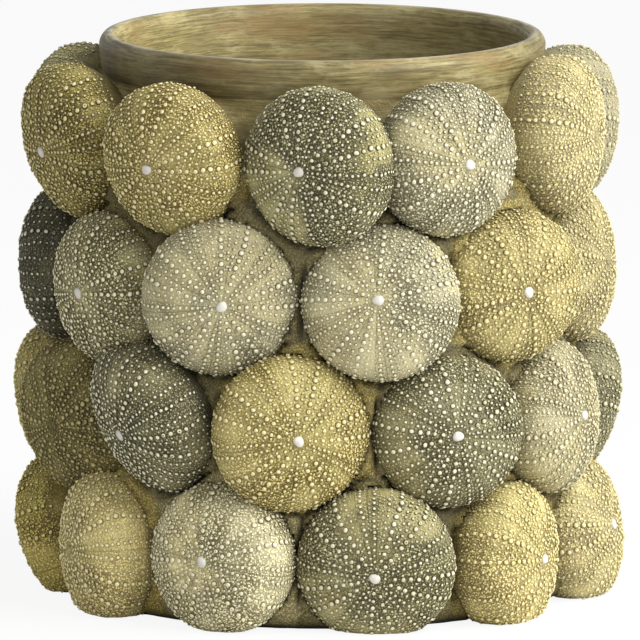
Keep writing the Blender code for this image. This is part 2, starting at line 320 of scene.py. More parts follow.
# Stipple of the glaze and the plaster, in grains to the metre, and half a narrow zone as a share of a fifth
GLAZE_GRAIN = 1050.0
PLASTER_GRAIN = 1150.0
NARROW_HALF = 0.128

Shell = namedtuple("Shell", "name place radius glaze star tone rub chalk skirt seed")
Bed = namedtuple("Bed", "azimuth height owner margin width radius")


# Layout

def shell_place(azimuth, centre_radius, height, lean, tip):
    """The place of a shell whose pole points outward, leaning sideways and upward."""
    outward = Vector((math.sin(azimuth), -math.cos(azimuth), 0))
    sideways = Vector((math.cos(azimuth), math.sin(azimuth), 0))
    pole = outward + sideways * math.tan(lean) + Vector((0, 0, math.tan(tip)))
    turned = pole.to_track_quat("Z", "Y").to_matrix().to_4x4()
    return np.array(Matrix.Translation(outward * centre_radius + Vector((0, 0, height))) @ turned)


def row_layout(row_number, row):
    """Each shell of one row, in the order that the maker set them."""
    count = len(row["turn"])
    for index in range(count):
        place = shell_place(
            math.radians(row["first"] + row["turn"][index]) + TAU * index / count,
            SHELL_CENTRE_RADIUS + row["out"][index] * MM,
            TOP_ROW_HEIGHT - ROW_PITCH * (row_number - 1) + row["rise"][index] * MM,
            math.radians(row["lean"][index]),
            math.radians(row["tip"][index]),
        )
        yield Shell(
            name=f"row{row_number}_{index + 1:02d}",
            place=place,
            radius=SHELL_RADIUS + row["grow"][index] * MM,
            glaze=row["glaze"][index],
            star=math.radians(row["star"][index]),
            tone=row["tone"][index],
            rub=row["rub"][index],
            chalk=row["chalk"][index],
            skirt=row["skirt"][index] * MM,
            seed=row_number * 100 + index,
        )


def to_world(place, points):
    return points @ place[:3, :3].T + place[:3, 3]


def to_local(place, points):
    return (points - place[:3, 3]) @ place[:3, :3]


def turned(across, turn, height):
    """Points at a radius, an angle round Z and a height."""
    return np.stack([across * np.cos(turn), across * np.sin(turn), height], axis=-1)


def from_axis(points):
    """How far points are from the Z axis."""
    return np.hypot(points[..., 0], points[..., 1])


# Mesh making

def place_object(name, data):
    """A new object in the scene."""
    made = bpy.data.objects.new(name, data)
    bpy.context.scene.collection.objects.link(made)
    return made


def fill_mesh(name, points, face_groups, numbers=None, plates=None):
    """A smooth mesh from one array of points and, for each number of corners, one array of faces.

    numbers names the arrays that hold a number or a colour at each point. plates is a pair of numbers at
    each face corner, kept as a UV map.
    """
    mesh = bpy.data.meshes.new(name)
    corners = np.concatenate([group.ravel() for group in face_groups]).astype(np.int32)
    sizes = np.concatenate([np.full(len(group), group.shape[1]) for group in face_groups])
    starts = (np.cumsum(sizes) - sizes).astype(np.int32)
    mesh.vertices.add(len(points))
    mesh.vertices.foreach_set("co", points.astype(np.float32).ravel())
    mesh.loops.add(len(corners))
    mesh.loops.foreach_set("vertex_index", corners)
    mesh.polygons.add(len(sizes))
    mesh.polygons.foreach_set("loop_start", starts)
    mesh.update(calc_edges=True)
    mesh.shade_smooth()
    for look, values in (numbers or {}).items():
        kind, field = ("FLOAT_COLOR", "color") if values.ndim > 1 else ("FLOAT", "value")
        attribute = mesh.attributes.new(look, kind, "POINT")
        attribute.data.foreach_set(field, values.astype(np.float32).ravel())
    if plates is not None:
        mesh.uv_layers.new(name="plates").data.foreach_set("uv", plates.astype(np.float32).ravel())
    return mesh


def joined_mesh(name, parts, looks):
    """One mesh from several parts. looks names the numbers that are the same at each point.

    A part is its points, their relief, arrays of faces, the UVs of their corners or None, and the index of
    its material.
    """
    faces, plates, paint = [], [], []
    start = 0
    for points, _, part_faces, part_plates, index in parts:
        for number, group in enumerate(part_faces):
            corner_plates = part_plates[number] if part_plates else np.zeros((*group.shape, 2))
            faces.append(group + start)
            plates.append(corner_plates.reshape(-1, 2))
            paint.append(np.full(len(group), index, dtype=np.int32))
        start += len(points)
    points = np.concatenate([part[0] for part in parts])
    relief = np.concatenate([part[1] for part in parts])
    numbers = {"relief": relief} | {look: np.full(len(relief), value) for look, value in looks.items()}
    mesh = fill_mesh(name, points, faces, numbers, np.concatenate(plates))
    mesh.polygons.foreach_set("material_index", np.concatenate(paint))
    return mesh


def add_piece(name, mesh, materials, slot, node=None):
    """A finished piece, which stands for a CAD node if one is named."""
    piece = place_object(name, mesh)
    for material in materials:
        mesh.materials.append(material)
    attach(piece, ROOT)
    if node:
        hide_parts(node)
    return piece


def band_faces(rings, columns, wrap_rings=False):
    """Quads between neighbouring rings of a grid that closes round; the last ring may meet the first."""
    ring = np.arange(rings if wrap_rings else rings - 1)[:, None]
    column = np.arange(columns)[None, :]
    here, after = ring * columns, (ring + 1) % rings * columns
    beside = (column + 1) % columns
    quads = np.stack([here + column, here + beside, after + beside, after + column], axis=-1)
    return quads.reshape(-1, 4)


def fan_faces(columns, start, pole, forwards=True):
    """Triangles from a ring that begins at one point of a mesh to its pole."""
    column = np.arange(columns)
    beside = (column + 1) % columns
    first, second = (column, beside) if forwards else (beside, column)
    return np.stack([start + first, start + second, np.full(columns, pole)], axis=-1)


def closed_faces(rings, columns, forwards=True):
    """The quads of a grid that closes round, and fans to its poles, which are the two points after it."""
    last = rings * columns
    caps = np.concatenate([
        fan_faces(columns, 0, last, forwards),
        fan_faces(columns, last - columns, last + 1, not forwards),
    ])
    return band_faces(rings, columns), caps


# Shell outline

def shell_outline(radius, margin=0.0):
    """Arc length, radius, height and normal along a shell's half outline, from the pole over the rim back.

    The outline is a superellipse: (r / radius) ** fullness + (h / depth) ** fullness = 1,
    with the front depth before the rim and the back depth behind it.
    """
    turn = np.linspace(0, math.pi, OUTLINE_SAMPLES)
    power = 2 / SHELL_FULLNESS
    depth = np.where(turn <= math.pi / 2, SHELL_FRONT_DEPTH, SHELL_BACK_DEPTH) + margin
    wide = radius + margin
    across = wide * np.abs(np.sin(turn)) ** power
    height = depth * np.sign(np.cos(turn)) * np.abs(np.cos(turn)) ** power
    along = np.concatenate([[0], np.cumsum(np.hypot(np.diff(across), np.diff(height)))])
    out_across = across ** (SHELL_FULLNESS - 1) / wide ** SHELL_FULLNESS
    out_height = np.sign(height) * np.abs(height) ** (SHELL_FULLNESS - 1) / depth ** SHELL_FULLNESS
    length = np.hypot(out_across, out_height)
    return along, across, height, out_across / length, out_height / length


def on_outline(outline, along, turn):
    """Points and normals on the shell, at arc lengths from its pole and at angles round it."""
    across, height, out_across, out_height = [
        np.interp(along, outline[0], values) for values in outline[1:]
    ]
    normals = turned(out_across, turn, out_height)
    return turned(across, turn, height), normals / np.linalg.norm(normals, axis=-1, keepdims=True)


def rim_length(outline):
    """Arc length from the pole to the rim."""
    return outline[0][np.argmax(outline[1])]


def outside_of(shell, points, margin):
    """How far points lie outside a shell grown by a margin, along rays from its centre; negative inside."""
    local = to_local(shell.place, points)
    wide = shell.radius + margin
    deep = np.where(local[..., 2] > 0, SHELL_FRONT_DEPTH, SHELL_BACK_DEPTH) + margin
    scale = (from_axis(local) / wide) ** SHELL_FULLNESS + (np.abs(local[..., 2]) / deep) ** SHELL_FULLNESS
    scale = np.maximum(scale, TINY) ** (1 / SHELL_FULLNESS)
    return np.linalg.norm(local, axis=-1) * (1 - 1 / scale)


# Bed and core

def bed_radius(height):
    """Radius of the plain bed: a drawn-in foot, a straight wall, and a shoulder up to the pot's band.

    The shoulder eases by half a cosine wave.
    """
    foot = np.clip(1 - height / BED_FOOT_DROP, 0, 1)
    share = np.clip((height - (BED_TOP - BED_SHOULDER_DROP)) / BED_SHOULDER_DROP, 0, 1)
    ease = (1 - np.cos(math.pi * share)) / 2
    return BED_RADIUS - BED_FOOT_INSET * foot + (BAND_FOOT_RADIUS - BED_RADIUS) * ease


def band_radius(height):
    """Radius of the bellied band under the lip: straight lines between its foot, its belly and the lip."""
    belly = (BAND_FOOT_RADIUS + LIP_RADIUS * 2) / 3
    middle = (BAND_FOOT_HEIGHT + LIP_SPRING) / 2
    return np.interp(height, (BAND_FOOT_HEIGHT, middle, LIP_SPRING), (BAND_FOOT_RADIUS, belly, LIP_RADIUS))


def core_radius(height):
    return np.where(height < BED_TOP, bed_radius(height), band_radius(height))


def outside_of_core(points):
    """How far points lie outside the bed, or outside the pot's band above it."""
    height = points[..., 2]
    sunk = np.where(height < BED_TOP - 2 * MM, PRESSED_IN, -0.1 * MM)
    return from_axis(points) - core_radius(height) + sunk


# Shell surface

def smooth_step(value):
    share = np.clip(value, 0, 1)
    return share * share * (3 - 2 * share)


def first_positive(values):
    """The step at which values first turn positive along their first axis, with the part of a step.

    It is the last step where they never do.
    """
    positive = values > 0
    first = np.argmax(positive, axis=0)
    before = np.maximum(first - 1, 0)
    low = np.take_along_axis(values, before[None], 0)[0]
    high = np.take_along_axis(values, first[None], 0)[0]
    part = np.clip(-low / np.maximum(high - low, TINY), 0, 1)
    return np.where(positive.any(axis=0), before + part * (first - before), len(values) - 1)


def pressed_back(shell, points, earlier):
    """Draws each point towards the shell's centre until it is out of the core, floor and earlier shells.

    Along the ray from the centre to the point, it stops at the first crossing of any of their surfaces.
    Against a neighbour it stops a little beyond the neighbour's surface, so that the line where they meet
    is clean.
    """
    centre = shell.place[:3, 3]
    share = np.linspace(0, 1, PRESS_STEPS + 1)[1:, None, None]
    samples = centre + share * (points - centre)
    room = np.minimum(outside_of_core(samples), samples[..., 2])
    for other in earlier:
        room = np.minimum(room, outside_of(other, samples, -PRESSED_IN))
    reach = (first_positive(-room) + 1) / PRESS_STEPS
    return centre + reach[:, None] * (points - centre)


def hand_waves(rng, along, turn):
    """Shallow waves in a shell: a sum of sines round it and along it, each with its own phase."""
    height = np.zeros(np.broadcast(along, turn).shape)
    for _ in range(WAVE_COUNT):
        round_it = rng.integers(1, 7)
        along_it = rng.uniform(0.05, 0.35) / MM
        height += np.sin(round_it * turn + along_it * along + rng.uniform(0, TAU)) / WAVE_COUNT
    return height


def shell_surface(shell, outline, earlier, rng):
    """Rings round the pole at even arc lengths, closed at both poles, in columns that follow its star.

    Between the columns of bosses the surface sinks along the sutures, by a cosine of ten turns. The UV map
    holds fifths of a turn round the pole, and the distance from the pole's axis in millimetres.
    """
    rim = rim_length(outline)
    front = np.linspace(0, rim, round(rim / FRONT_RING_SPACING) + 1)[1:]
    last = outline[0][-1]
    back = np.linspace(rim, last, round((last - rim) / BACK_RING_SPACING) + 1)[1:-1]
    along = np.concatenate([front, back])
    turn = shell.star + np.arange(SHELL_COLUMNS) * TAU / SHELL_COLUMNS
    grid_along, grid_turn = [grid.ravel() for grid in np.meshgrid(along, turn, indexing="ij")]
    points, normals = on_outline(outline, grid_along, grid_turn)
    fade = np.clip(grid_along / WAVE_FADE, 0, 1)
    sink = 0.5 + 0.5 * np.cos(10 * (grid_turn - shell.star))
    wave = hand_waves(rng, grid_along, grid_turn) * SHELL_WAVE * 2
    points = points + normals * (fade * (wave - sink * SHELL_WAVE))[:, None]
    poles, _ = on_outline(outline, np.array([0, last]), np.zeros(2))
    points = pressed_back(shell, to_world(shell.place, np.concatenate([points, poles])), earlier)
    rings = len(along)
    quads, caps = closed_faces(rings, SHELL_COLUMNS)
    behind = smooth_step((grid_along - rim - BARE_BEHIND_RIM) / BARE_FADE)
    relief = np.concatenate([GROUND_RELIEF * (1 - behind), [GROUND_RELIEF, 0]])
    across = np.interp(along, outline[0], outline[1]) / MM
    fifth = np.arange(SHELL_COLUMNS + 1) * 5 / SHELL_COLUMNS
    ring, spoke = np.divmod(np.arange(len(quads)), SHELL_COLUMNS)
    quad_plates = np.stack([
        np.stack([fifth[spoke], fifth[spoke + 1], fifth[spoke + 1], fifth[spoke]], axis=-1),
        np.stack([across[ring], across[ring], across[ring + 1], across[ring + 1]], axis=-1),
    ], axis=-1)
    return points, relief, [quads, caps], [quad_plates, np.zeros((*caps.shape, 2))]


# Bosses

def jitter(rng, count, amount):
    return rng.uniform(-amount, amount, count)


def swell(along, rim):
    """Share of full size: by a sine, bosses grow from 0.62 at the pole to 1 at half of the way to the rim.

    From just in front of the rim they shrink evenly, by up to 0.35.
    """
    rise = np.clip(along / (rim * 0.55), 0, 1)
    fall = np.clip((along - rim * 0.9) / (rim * 0.45), 0, 1)
    return 0.62 + 0.38 * np.sin(rise * math.pi / 2) - 0.35 * fall


def boss_rows(shell, rim, rng, rows):
    """Arc length, angle and foot radius of the bosses in some rows, on both sides of each broad zone.

    Along a row they come in even steps, each a little off its place, and the rows of a pair are staggered.
    """
    along, angle, foot = [], [], []
    for ray in range(5):
        middle = shell.star + ray * TAU / 5
        for degrees, start, pitch, radius in rows:
            for side in (-1, 1):
                stagger = (side + 1) / 4 * pitch + rng.uniform(-START_JITTER, START_JITTER) * pitch
                first = rim * start + stagger * MM
                steps = np.arange(first, rim + ROWS_BEHIND_RIM, pitch * MM)
                along.append(steps + jitter(rng, len(steps), pitch * MM * STEP_JITTER))
                angle.append(middle + side * math.radians(degrees) + jitter(rng, len(steps), ANGLE_JITTER))
                foot.append(radius * MM * rng.uniform(0.88, 1.10, len(steps)))
    along, angle, foot = [np.concatenate(parts) for parts in (along, angle, foot)]
    return along, angle, foot * swell(along, rim)


def collar(rng):
    """Small bosses in a ring round the bead, at even angles, each a little off its place."""
    along = COLLAR_RADIUS + jitter(rng, COLLAR_COUNT, 0.35 * MM)
    even = np.arange(COLLAR_COUNT) * TAU / COLLAR_COUNT
    angle = even + rng.uniform(0, TAU) + jitter(rng, COLLAR_COUNT, 0.07)
    return along, angle, COLLAR_FOOT * rng.uniform(0.80, 1.15, COLLAR_COUNT)


def granules(outline, rim, rng):
    """Rings of granules at an even pitch along and round the shell, each a little off its place."""
    rings = np.arange(FIRST_GRANULES, rim + ROWS_BEHIND_RIM, GRANULE_PITCH)
    counts = np.round(TAU * np.interp(rings, outline[0], outline[1]) / GRANULE_PITCH).astype(int)
    ring = np.repeat(np.arange(len(rings)), counts)
    place = np.arange(len(ring)) - np.repeat(np.cumsum(counts) - counts, counts)
    angle = (place + 0.5 * (ring % 2) + jitter(rng, len(ring), GRANULE_JITTER)) * TAU / counts[ring]
    along = rings[ring] + jitter(rng, len(ring), GRANULE_PITCH * GRANULE_JITTER)
    return along, angle, GRANULE_FOOT * rng.uniform(0.72, 1.2, len(ring))


def together(first, second):
    """Two lots of bosses as one."""
    return [np.concatenate(pair) for pair in zip(first, second)]


def between(outline, bosses, taken, share):
    """The bosses that stand clear of those already there, by a share of their own radius."""
    points = on_outline(outline, *bosses[:2])[0]
    others = on_outline(outline, *taken[:2])[0]
    room = np.linalg.norm(points[:, None] - others[None], axis=-1) - taken[2][None]
    clear = room.min(axis=1) > bosses[2] * share
    return [values[clear] for values in bosses]


def lay_bosses(shell, outline, rng):
    """The primary, secondary, minor and finest bosses of a shell, in the five-rayed order of a real one.

    Each fifth has a broad zone with two rows of large bosses, and a narrow zone with two rows of smaller
    ones. Smaller rows run beside and between them, and granules fill what room is left.
    """
    rim = rim_length(outline)
    primary = boss_rows(shell, rim, rng, PRIMARY_ROWS)
    secondary = together(boss_rows(shell, rim, rng, SECONDARY_ROWS), collar(rng))
    taken = together(primary, secondary)
    minor = between(outline, boss_rows(shell, rim, rng, MINOR_ROWS), taken, MINOR_ROOM)
    taken = together(taken, minor)
    return primary, secondary, minor, between(outline, granules(outline, rim, rng), taken, GRANULE_ROOM)


def boss_mesh(points, normals, sizes, form, sides, rng, broken_share=0.0):
    """Turned bosses: each ring of the form is a nearly round oval about the normal, at its shares of size.

    The foot is sunk in the shell and closed by one face. A broken boss has a dark pit in its tip.
    """
    form = np.array(form)
    rings = form[:-1]
    side = np.cross(normals, np.array([0.31, 0.22, 0.92]))
    side /= np.linalg.norm(side, axis=1, keepdims=True)
    ahead = np.cross(normals, side)
    count = len(points)
    turn = np.arange(sides) * TAU / sides + rng.uniform(0, TAU, count)[:, None]
    oval = rng.uniform(0.9, 1.1, count)[:, None]
    circle = (
        side[:, None] * (np.cos(turn) * oval)[..., None]
        + ahead[:, None] * (np.sin(turn) / oval)[..., None]
    )
    ring_points = (
        points[:, None, None]
        + normals[:, None, None] * (rings[:, 1][None, :] * sizes[:, None])[:, :, None, None]
        + circle[:, None] * (rings[:, 0][None, :] * sizes[:, None])[:, :, None, None]
    )
    broken = rng.uniform(0, 1, count) < broken_share
    tip_height = np.where(broken, form[-1, 1] * BROKEN_HEIGHT, form[-1, 1]) * sizes
    tips = points + normals * tip_height[:, None]
    wear_and_sheen = rng.uniform(0.78, 1.0, count)
    ring_relief = np.repeat(rings[:, 2][None, :] * wear_and_sheen[:, None], sides, axis=1)
    tip_relief = np.where(broken, BROKEN_RELIEF, form[-1, 2] * wear_and_sheen)
    tip = len(rings) * sides
    all_points = np.concatenate([ring_points.reshape(count, -1, 3), tips[:, None]], axis=1).reshape(-1, 3)
    relief = np.concatenate([ring_relief, tip_relief[:, None]], axis=1).ravel()
    offset = (np.arange(count) * (tip + 1))[:, None, None]
    quads = band_faces(len(rings), sides)[None] + offset
    cap = fan_faces(sides, tip - sides, tip)[None] + offset
    foot = np.arange(sides)[::-1][None, None] + offset
    return all_points, relief, quads.reshape(-1, 4), cap.reshape(-1, 3), foot.reshape(-1, sides)


def bead_surface(shell, outline, rng):
    """The white bead: a flattened ball sunk in the hole at the pole, its radius wavering by two cosines."""
    turn = np.arange(BEAD_COLUMNS) * TAU / BEAD_COLUMNS
    waver = 1 + 0.09 * np.cos(2 * turn + rng.uniform(0, TAU))
    waver += 0.05 * np.cos(3 * turn + rng.uniform(0, TAU))
    rise = np.linspace(-0.5, 0.5, BEAD_RINGS + 2)[1:-1] * math.pi
    across = BEAD_RADIUS * np.cos(rise)[:, None] * waver[None]
    height = SHELL_FRONT_DEPTH + BEAD_HEIGHT * np.sin(rise)[:, None] + np.zeros_like(across)
    points = turned(across, turn, height).reshape(-1, 3)
    poles = np.array([(0, 0, SHELL_FRONT_DEPTH - BEAD_HEIGHT), (0, 0, SHELL_FRONT_DEPTH + BEAD_HEIGHT)])
    points = to_world(shell.place, np.concatenate([points, poles]))
    return points, *closed_faces(BEAD_RINGS, BEAD_COLUMNS, forwards=False)


def standing_clear(points, others, bed):
    """Whether points on a shell are out of the floor, the plaster and the other shells."""
    azimuth = np.arctan2(points[:, 0], -points[:, 1])
    column = np.round(-azimuth / TAU * BED_COLUMNS).astype(int) % BED_COLUMNS
    row = np.clip(np.round(points[:, 2] / BED_TOP * (BED_ROWS - 1)), 0, BED_ROWS - 1).astype(int)
    plaster = np.where(points[:, 2] < BED_TOP, bed.radius[row, column] - BURIED, 0)
    clear = (points[:, 2] > FLOOR_CLEAR) & (from_axis(points) > plaster)
    clear &= outside_of_core(points) > PRESSED_IN
    for other in others:
        clear &= outside_of(other, points, 0.0) > SHELL_CLEAR
    return clear


def make_shell(shell, shells, bed, glazes, bead_paint):
    """One shell with all its bosses and its bead, as one piece."""
    rng = np.random.default_rng(shell.seed)
    outline = shell_outline(shell.radius)
    near = [
        other for other in shells
        if other is not shell
        and np.linalg.norm(other.place[:3, 3] - shell.place[:3, 3]) < shell.radius + other.radius + MM
    ]
    earlier = [other for other in near if other.seed < shell.seed]
    points, relief, faces, plates = shell_surface(shell, outline, earlier, rng)
    parts = [(points, relief, faces, plates, 0)]
    for bosses, (form, sides, broken_share) in zip(lay_bosses(shell, outline, rng), BOSS_KINDS):
        along, angle, size = bosses
        spots, normals = on_outline(outline, along, angle)
        spots = to_world(shell.place, spots)
        normals = normals @ shell.place[:3, :3].T
        keep = standing_clear(spots, near, bed)
        made = boss_mesh(spots[keep], normals[keep], size[keep], form, sides, rng, broken_share)
        made_points = np.column_stack([made[0][:, :2], np.maximum(made[0][:, 2], 0)])
        parts.append((made_points, made[1], made[2:], None, 0))
    bead_points, *bead_faces = bead_surface(shell, outline, rng)
    bead_material = 0 if shell.name in BEADS_GLAZED_OVER else 1
    parts.append((bead_points, np.full(len(bead_points), GROUND_RELIEF), bead_faces, None, bead_material))
    name = f"shell_{shell.name}"
    mesh = joined_mesh(name, parts, {"tone": shell.tone, "rub": shell.rub, "chalk": shell.chalk})
    add_piece(name, mesh, [glazes[shell.glaze], bead_paint], shell.glaze, f"urchin_{shell.name}")


# Plaster

def smooth_least(first, second, reach):
    """The smaller of two distances, with a rounded corner where they are within reach of each other."""
    blend = np.clip(reach - np.abs(first - second), 0, None) / reach
    return np.minimum(first, second) - blend * blend * reach / 4


def shells_near(azimuth, height, shells):
    """Each shell with a mask of the places on the wall that lie near it."""
    for shell in shells:
        centre = shell.place[:3, 3]
        apart = np.arctan2(centre[0], -centre[1]) - azimuth
        apart = np.abs((apart + math.pi) % TAU - math.pi)
        near = (apart < SHELL_HALF_ANGLE) & (np.abs(height - centre[2]) < shell.radius + FILLET_REACH)
        if near.any():
            yield shell, near


def on_wall(radius, azimuth, height):
    """Points at a radius, an azimuth and a height."""
    radius, azimuth, height = np.broadcast_arrays(radius, azimuth, height)
    return np.stack([radius * np.sin(azimuth), -radius * np.cos(azimuth), height], axis=-1)


def territory(azimuth, height, shells):
    """Whose skirt each place on the wall is, how far it lies from another's, and how wide the gap is there.

    A place belongs to the shell whose surface is nearest, less the reach of that shell's skirt, which is
    greater above the shell than below it, and to its right than to its left. That puts the seam between
    skirts, sunk and painted dark as painted shade, under each shell and at its left, where shade falls.
    The gap's width is the sum of the distances to the two nearest shells.
    """
    points = on_wall(bed_radius(height) + TERRITORY_DEPTH, azimuth, height)
    owner = np.zeros(height.shape, dtype=int)
    claims = np.full((2, *height.shape), GAP_REACH)
    rooms = np.full((2, *height.shape), GAP_REACH)
    for shell, near in shells_near(azimuth, height, shells):
        away = outside_of(shell, points[near], 0.0)
        above = np.clip((height[near] - shell.place[2, 3]) / shell.radius, -1, 1)
        apart = azimuth[near] - math.atan2(shell.place[0, 3], -shell.place[1, 3])
        beside = np.clip(np.sin(apart) * BED_RADIUS / shell.radius, -1, 1)
        claim = away - shell.skirt - UPWARD_REACH * above - SIDE_REACH * beside
        owner[near] = np.where(claim < claims[0][near], shell.seed, owner[near])
        for kept, value in ((claims, claim), (rooms, np.clip(away, 0, GAP_REACH))):
            first, second = kept[0][near], kept[1][near]
            kept[1][near] = np.minimum(second, np.maximum(first, value))
            kept[0][near] = np.minimum(first, value)
    margin = np.where(claims[1] < GAP_REACH, (claims[1] - claims[0]) / 2, GAP_REACH)
    return owner, margin, np.where(rooms[0] > 0, rooms[0] + rooms[1], 0)


def between_rows(height):
    """1 where shells stand all round, falling to 0 above the top row and at the floor."""
    below_top = smooth_step((BED_TOP - BED_SHOULDER_DROP - height) / ROWS_FADE_TOP)
    return below_top * smooth_step((height + ROWS_FADE_FOOT) / (2 * ROWS_FADE_FOOT))


def smoothed_over(width):
    """How far the seam of two skirts was smoothed over: not in a narrow gap, nearly all in a wide one."""
    return SMOOTHED_SHARE * smooth_step((width - NARROW_GAP) / (WIDE_GAP - NARROW_GAP))


def gap_filling(height, margin, width):
    """How much plaster was pushed into the gaps: it stands high where they are open, by a smooth step.

    Where skirts meet it sinks, by a bell curve of the distance from the seam.
    """
    crevice = CREVICE_DEPTH * np.exp(-(margin / CREVICE_WIDTH) ** 2) * (1 - smoothed_over(width))
    return np.maximum(GAP_RISE * smooth_step(width / GAP_OPEN) - crevice, 0) * between_rows(height)


def plaster_radius(azimuth, height, shells, owner, filling):
    """How far the plaster stands out: the filled wall, filleted up against the shell whose skirt it is.

    Along each outward ray the distances to the wall and to the sunk-in shells are joined by a minimum, a
    smooth one for the owner, and the surface is where that first turns positive.
    """
    wall = bed_radius(height) + filling
    start = bed_radius(height) - 0.5 * MM
    share = np.linspace(0, 1, FILLET_STEPS)[:, None, None]
    radius = start + share * (FILLET_LIMIT - start)
    samples = on_wall(radius, azimuth[None], np.broadcast_to(height, radius.shape))
    room = radius - wall
    for shell, near in shells_near(azimuth, height, shells):
        away = outside_of(shell, samples[:, near], -FILLET_SHRINK)
        reach = np.where(owner[near] == shell.seed, FILLET_REACH, PLAIN_REACH)
        room[:, near] = smooth_least(room[:, near], away, reach)
    return start + first_positive(room) / (FILLET_STEPS - 1) * (FILLET_LIMIT - start)


def plaster_looks(points, height, owner, margin, width, shells):
    """How light the plaster is, and its wash, which is the owner's glaze.

    It is painted dark in narrow and deep gaps and where skirts meet, as painted shade, and painted
    lighter where it stands proud, where a skirt is wide and on the open wall above the rows, as painted
    light. It is browner where it is dark.
    """
    rows = between_rows(height)
    proud = smooth_step((from_axis(points) - BED_RADIUS) / PROUD_REACH)
    spread = np.zeros(max(shell.seed for shell in shells) + 1)
    glaze = np.tile(BARE_PLASTER, (len(spread), 1))
    for shell in shells:
        spread[shell.seed] = np.clip(shell.skirt / WIDEST_SKIRT, 0, 1)
        plain = np.array(GLAZES[shell.glaze][1]) * shell.tone
        glaze[shell.seed] = plain * GLAZE_SHARE + np.array(BARE_PLASTER) * (1 - GLAZE_SHARE)
    # Painted light: lighter where the plaster stands proud, and most on a wide skirt.
    lit = LEAST_TONE + (PROUD_TONE + SKIRT_TONE * spread[owner]) * proud
    # Painted shade: darker beside a seam and in a tight gap.
    seam = SEAM_DARK * (1 - smooth_step(margin / SEAM_WIDTH)) * (1 - smoothed_over(width))
    met = (1 - seam) * (TIGHT_TONE + (1 - TIGHT_TONE) * smooth_step(width / TIGHT_GAP))
    # Painted light on the open wall above the rows, lighter higher up.
    open_wall = smooth_step((height - BED_TOP / 2) / OPEN_WALL_FADE)
    tone = rows * lit * met + (1 - rows) * np.maximum(lit, open_wall)
    wash = glaze[owner] * np.stack([np.ones_like(tone), 0.90 + 0.10 * tone, 0.30 + 0.70 * tone], axis=-1)
    return tone, np.concatenate([wash, np.ones((*tone.shape, 1))], axis=-1)


def plaster_grid(shells):
    """The plaster's outside as a grid of height by azimuth."""
    rows = np.linspace(0, BED_TOP, BED_ROWS)
    columns = -(np.arange(BED_COLUMNS) * TAU / BED_COLUMNS)
    height, azimuth = np.meshgrid(rows, columns, indexing="ij")
    owner, margin, width = territory(azimuth, height, shells)
    radius = plaster_radius(azimuth, height, shells, owner, gap_filling(height, margin, width))
    return Bed(azimuth, height, owner, margin, width, radius)


def strewn_granules(shells, rng, paint):
    """Granules strewn over the plaster in the gaps: random places, kept where the gap is open."""
    azimuth = rng.uniform(0, TAU, (1, STREWN))
    height = rng.uniform(STREWN_LOW, STREWN_HIGH, (1, STREWN))
    owner, margin, width = territory(azimuth, height, shells)
    keep = (width[0] > STREWN_GAP) & (margin[0] > STREWN_MARGIN)
    azimuth, height, owner, margin, width = [
        values[:, keep] for values in (azimuth, height, owner, margin, width)
    ]
    radius = plaster_radius(azimuth, height, shells, owner, gap_filling(height, margin, width))
    points = on_wall(radius, azimuth, height)
    tone, wash = plaster_looks(points, height, owner, margin, width, shells)
    size = GRANULE_FOOT * rng.uniform(0.8, 1.5, points.shape[1])
    outward = on_wall(1.0, azimuth[0], 0.0)
    made_points, relief, *faces = boss_mesh(points[0], outward, size, GRANULE_FORM, GRANULE_SIDES, rng)
    each = len(made_points) // points.shape[1]
    numbers = {"relief": relief, "tone": np.repeat(tone[0], each), "wash": np.repeat(wash[0], each, axis=0)}
    mesh = fill_mesh("plaster_granules", made_points, faces, numbers)
    add_piece("plaster_granules", mesh, [paint], "plaster")


def make_bed(shells, bed, paint):
    """The plaster sleeve: a grid of azimuth by height outside, and a plain wall inside.

    Ripples, a sum of sines, run over it and die out under the pot's band. Its top laps over the band and
    feathers out there, with a slow waver.
    """
    rng = np.random.default_rng(7)
    turn, height = bed.azimuth, bed.height
    ripple = sum(
        np.sin(rng.integers(3, 90) * turn + rng.uniform(200, 2600) * height + rng.uniform(0, TAU))
        for _ in range(RIPPLES)
    )
    lap_rows = np.linspace(BED_TOP, LAP_TOP, LAP_ROWS)[1:]
    lap_height, lap_turn = np.meshgrid(lap_rows, turn[0], indexing="ij")
    feather = np.clip((lap_height - BED_TOP) / (LAP_TOP - BED_TOP), 0, 1)
    waver = LAP_WAVER * np.sin(5 * lap_turn + 1) * np.sin(11 * lap_turn)
    lap_radius = band_radius(lap_height) + (LAP_PROUD + waver) * (1 - feather) - LAP_SUNK * feather
    calm = np.clip((BED_TOP - height) / (12 * MM), 0, 1)
    top_edge = LAP_PROUD * np.clip(1 - (BED_TOP - height) / (6 * MM), 0, 1)
    radius = bed.radius + ripple * RIPPLE * calm + top_edge
    wall_height, wall_turn = np.meshgrid(np.array([BED_TOP, 0.0]), turn[0], indexing="ij")
    wall_radius = np.full(wall_height.shape, BED_INNER_RADIUS)
    all_height = np.concatenate([height, lap_height, wall_height])
    all_turn = np.concatenate([turn, lap_turn, wall_turn])
    points = on_wall(np.concatenate([radius, lap_radius, wall_radius]), all_turn, all_height)
    plain = ((0, len(all_height) - len(height)), (0, 0))
    owner = np.pad(bed.owner, plain)
    margin, width = [np.pad(values, plain, constant_values=GAP_REACH) for values in (bed.margin, bed.width)]
    tone, wash = plaster_looks(points, all_height, owner, margin, width, shells)
    quads = band_faces(len(all_height), BED_COLUMNS, wrap_rings=True)[:, ::-1]
    relief = np.full(tone.size, GROUND_RELIEF)
    numbers = {"relief": relief, "tone": tone.ravel(), "wash": wash.reshape(-1, 4)}
    mesh = fill_mesh("plaster_fillets", points.reshape(-1, 3), [quads], numbers)
    add_piece("plaster_fillets", mesh, [paint], "plaster", "plaster_bed")
    strewn_granules(shells, rng, paint)


# Pot

